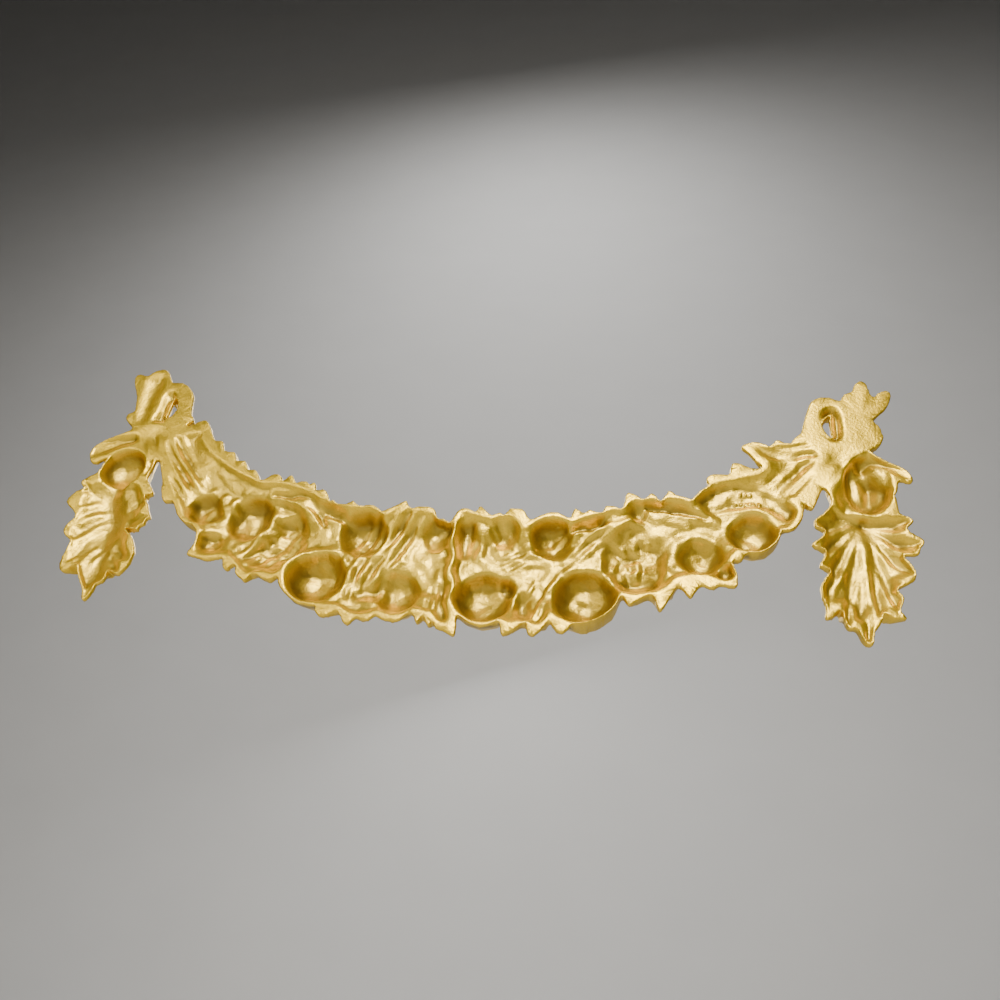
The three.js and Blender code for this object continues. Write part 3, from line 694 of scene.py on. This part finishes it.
for side in (-1, 1):
    emboss([(side * 248, -150), (side * 249, -130), (side * 246, -110)], 5, 1.6)
    emboss([(side * 262, -146), (side * 255, -132), (side * 247, -112)], 3, 1.0)
    emboss([(side * 226, -142), (side * 218, -126), (side * 224, -108)], 3, 1.0)
    emboss([(side * 222, -104), (side * 236, -99), (side * 250, -103)], 4, 1.6)
    emboss([(side * 220, -92), (side * 235, -89), (side * 248, -95)], 4, 1.6)
    emboss([(side * 222, -90), (side * 204, -74), (side * 188, -58)], 4, 1.6)
    emboss([(side * 216, -98), (side * 196, -84), (side * 176, -70)], 4, 1.4)


# The casting as one closed mesh: what lies between back and front, inside the outline.
# The edge is where the blurred outline passes EDGE_LEVEL, with its corners eased.
EDGE_BLUR, EDGE_LEVEL, EDGE_SLOPE = 0.7, 0.46, 1.8


def casting_mesh():
    band = 1.5 * PITCH
    outline = (blur(shape * 1.0, EDGE_BLUR) - EDGE_LEVEL) * EDGE_SLOPE
    levels = np.arange(-2 * PITCH, DEEPEST + 2 * PITCH, PITCH)
    field = np.empty(X.shape + (len(levels),), np.float32)
    for k, depth in enumerate(levels):
        field[:, :, k] = np.minimum(np.minimum(front - depth, depth - back), outline)
    np.clip(field, -band, band, out=field)
    grid = openvdb.FloatGrid(-band)
    grid.copyFromArray(field, tolerance=0.0)
    points, quads = grid.convertToQuads(0.0)
    points = np.asarray(points, float)
    places = np.empty_like(points)
    places[:, 0] = (xs[0] + points[:, 0] * PITCH) * MM
    places[:, 1] = -(levels[0] + points[:, 2] * PITCH) * MM
    places[:, 2] = (zs[0] + points[:, 1] * PITCH) * MM
    mesh = bpy.data.meshes.new("festoon")
    mesh.from_pydata(places.tolist(), [], np.asarray(quads).tolist())
    mesh.update()
    return mesh


piece = bpy.data.objects.new("gilded_casting", casting_mesh())
bpy.context.scene.collection.objects.link(piece)
fewer = piece.modifiers.new("fewer", "DECIMATE")
fewer.ratio = min(1, TRIANGLES / (2 * len(piece.data.polygons)))
bpy.context.view_layer.update()
reduced = piece.evaluated_get(bpy.context.evaluated_depsgraph_get())
mesh = bpy.data.meshes.new_from_object(reduced)
piece.modifiers.clear()
piece.data = mesh
mesh.shade_smooth()

places = read(mesh.vertices, "co") / MM
normals = read(mesh.vertex_normals, "vector")


# A field's value at each vertex
def at_vertices(field):
    i = np.clip((places[:, 0] - xs[0]) / PITCH, 0, len(xs) - 1.001)
    k = np.clip((places[:, 2] - zs[0]) / PITCH, 0, len(zs) - 1.001)
    i0, k0 = i.astype(int), k.astype(int)
    u, v = i - i0, k - k0
    return (field[i0, k0] * (1 - u) * (1 - v) + field[i0 + 1, k0] * u * (1 - v)
            + field[i0, k0 + 1] * (1 - u) * v + field[i0 + 1, k0 + 1] * u * v)


def attribute(name, values):
    layer = mesh.attributes.new(name, "FLOAT", "POINT")
    layer.data.foreach_set("value", values.astype(np.float32))


# What the paint goes by: painted shade that deepens with the hollow, painted shade on bowl walls,
# banks and steep walls, and painted shade in grooves with a painted highlight on crests
hollowed = at_vertices((back - blur(back, 2.4)) * step(back, 0.4, 1.5))
raised = at_vertices(front - blur(front, 2.4))
floor = at_vertices(back)
on_back = -places[:, 1] < (floor + at_vertices(front)) / 2
steep = step(1 - np.abs(normals[:, 1]), 0.3, 0.9)
# Painted shade: darker the deeper the hollow, and a little darker all over the front
attribute("hollow", np.where(on_back, step(floor, 0.4, 5), 0.35))
# Painted shade: on the back as marked above, and on the front's steep side walls
attribute("painted_shade", np.where(on_back, at_vertices(painted_shade), 0.15 + 0.45 * steep))
# Painted shade in grooves and a painted highlight on crests
attribute("groove_shade_crest_highlight", np.clip(0.5 + np.where(on_back, -0.45 * hollowed, 0.3 * raised), 0, 1))


# Gold paint, by where it lies, with painted shade and a painted highlight among its colours
ON_LAND = (0.86, 0.56, 0.03, 1)
PAINTED_HOLLOW_SHADE = (0.78, 0.515, 0.04, 1)
IN_SHADE = (0.44, 0.28, 0.024, 1)
PAINTED_GROOVE_SHADE = (0.23, 0.16, 0.028, 1)
PAINTED_CREST_HIGHLIGHT = (0.95, 0.67, 0.05, 1)
IN_CLOUDS = (0.90, 0.61, 0.04, 1)
IN_PITS = (0.42, 0.26, 0.02, 1)


def gold_paint():
    material = bpy.data.materials.new("gold_paint")
    material.use_nodes = True
    nodes, links = material.node_tree.nodes, material.node_tree.links
    shader = nodes["Principled BSDF"]
    shader.inputs["Metallic"].default_value = 0.85

    def add(kind, **settings):
        made = nodes.new(kind)
        for key, value in settings.items():
            setattr(made, key, value)
        return made

    place = add("ShaderNodeTexCoord")

    def noise(scale, detail, rough=0.55):
        made = add("ShaderNodeTexNoise")
        made.inputs["Scale"].default_value = scale
        made.inputs["Detail"].default_value = detail
        made.inputs["Roughness"].default_value = rough
        links.new(place.outputs["Object"], made.inputs["Vector"])
        return made.outputs["Fac"]

    def mix(factor, first, second):
        made = add("ShaderNodeMix", data_type="RGBA")
        for socket, value in ((0, factor), (6, first), (7, second)):
            if isinstance(value, bpy.types.NodeSocket):
                links.new(value, made.inputs[socket])
            else:
                made.inputs[socket].default_value = value
        return made.outputs[2]

    def spread(value, from_low, from_high, to_low, to_high):
        made = add("ShaderNodeMapRange")
        links.new(value, made.inputs["Value"])
        for socket, value in (("From Min", from_low), ("From Max", from_high),
                              ("To Min", to_low), ("To Max", to_high)):
            made.inputs[socket].default_value = value
        return made.outputs["Result"]

    def painted(name):
        return add("ShaderNodeAttribute", attribute_name=name).outputs["Fac"]

    cloudy = noise(38, 3)
    fine = noise(900, 4, 0.65)
    groove_shade_crest_highlight = painted("groove_shade_crest_highlight")
    # Painted shade: darker deeper in the hollows
    colour = mix(painted("hollow"), ON_LAND, PAINTED_HOLLOW_SHADE)
    # Painted shade on bowl walls, banks and steep walls
    colour = mix(painted("painted_shade"), colour, IN_SHADE)
    # Painted shade in grooves and a painted highlight on crests
    colour = mix(spread(groove_shade_crest_highlight, 0.5, 0.0, 0.0, 0.75), colour, PAINTED_GROOVE_SHADE)
    colour = mix(spread(groove_shade_crest_highlight, 0.5, 1.0, 0.0, 0.3), colour, PAINTED_CREST_HIGHLIGHT)
    colour = mix(spread(cloudy, 0.42, 0.68, 0.0, 0.25), colour, IN_CLOUDS)
    colour = mix(spread(fine, 0.35, 0.5, 0.3, 0.0), colour, IN_PITS)
    links.new(colour, shader.inputs["Base Color"])
    links.new(spread(noise(160, 4), 0.3, 0.7, 0.29, 0.44), shader.inputs["Roughness"])
    bump = add("ShaderNodeBump")
    bump.inputs["Strength"].default_value = 0.5
    bump.inputs["Distance"].default_value = 0.0006
    links.new(noise(520, 5, 0.6), bump.inputs["Height"])
    links.new(bump.outputs["Normal"], shader.inputs["Normal"])
    return material


piece.data.materials.clear()
piece.data.materials.append(gold_paint())
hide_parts("festoon_casting")
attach(piece, "root")


# Studio
PALE = (0.72, 0.71, 0.69)


def matte(name, colour):
    material = bpy.data.materials.new(name)
    material.use_nodes = True
    nodes, links = material.node_tree.nodes, material.node_tree.links
    shader = nodes["Principled BSDF"]
    shader.inputs["Roughness"].default_value = 0.85
    speckle = nodes.new("ShaderNodeTexNoise")
    speckle.inputs["Scale"].default_value = 60
    ramp = nodes.new("ShaderNodeValToRGB")
    ramp.color_ramp.elements[0].color = [c * 0.94 for c in colour] + [1]
    ramp.color_ramp.elements[1].color = list(colour) + [1]
    links.new(speckle.outputs["Fac"], ramp.inputs["Fac"])
    links.new(ramp.outputs["Color"], shader.inputs["Base Color"])
    return material


def sheet(name, width, height, place, turn):
    w, h = width / 2, height / 2
    made = bpy.data.meshes.new(name)
    made.from_pydata([(-w, -h, 0), (w, -h, 0), (w, h, 0), (-w, h, 0)], [], [(0, 1, 2, 3)])
    board = bpy.data.objects.new(name, made)
    board.location = place
    board.rotation_euler = [math.radians(a) for a in turn]
    made.materials.append(matte(name, PALE))
    bpy.context.scene.collection.objects.link(board)


sheet("floor", 12, 4, (0, 0, -0.5), (0, 0, 0))
sheet("backdrop", 12, 8, (0, -1.6, 3.4), (-90, 0, 0))


def lamp(name, place, size, power, tint=(1, 1, 1), aim=(0, 0, 0)):
    data = bpy.data.lights.new(name, "AREA")
    data.shape = "DISK"
    data.size = size
    data.energy = power
    data.color = tint
    light = bpy.data.objects.new(name, data)
    light.location = place
    light.rotation_euler = (Vector(place) - Vector(aim)).to_track_quat("Z", "Y").to_euler()
    bpy.context.scene.collection.objects.link(light)


lamp("key", (-0.12, 1.35, 0.8), 0.5, 34, (1, 0.98, 0.94))
lamp("side", (0.9, 1.1, 0.3), 0.5, 5, (1, 0.98, 0.95))
lamp("front", (0.4, -1.2, 1.0), 0.9, 13)
lamp("wash", (0.3, -0.35, 2.7), 1.2, 22, aim=(0, -1.6, 1.2))

world = bpy.data.worlds.new("room")
world.use_nodes = True
background = world.node_tree.nodes["Background"]
background.inputs["Color"].default_value = (0.86, 0.84, 0.80, 1)
background.inputs["Strength"].default_value = 0.04
bpy.context.scene.world = world

# Camera, at the photograph's place: 800 pixels of focal length in a picture 1000 wide
SENSOR = 36
LENS = 28.8
EYE = Vector((-EYE_RIGHT, EYE_HEIGHT, -EYE_DOWN)) * MM
SIDEWAYS = Vector((-0.98809, -0.09877, 0.11790))
UPWARDS = Vector((0.04153, 0.56672, 0.82291))
AHEAD = Vector((0.14809, -0.81801, 0.55588))
camera = bpy.data.objects.new("camera", bpy.data.cameras.new("camera"))
camera.data.sensor_width = SENSOR
camera.data.lens = LENS
camera.data.clip_start = 0.01
facing = Matrix((SIDEWAYS, UPWARDS, -AHEAD)).transposed().to_4x4()
camera.matrix_world = Matrix.Translation(EYE) @ facing
bpy.context.scene.collection.objects.link(camera)
bpy.context.scene.camera = camera
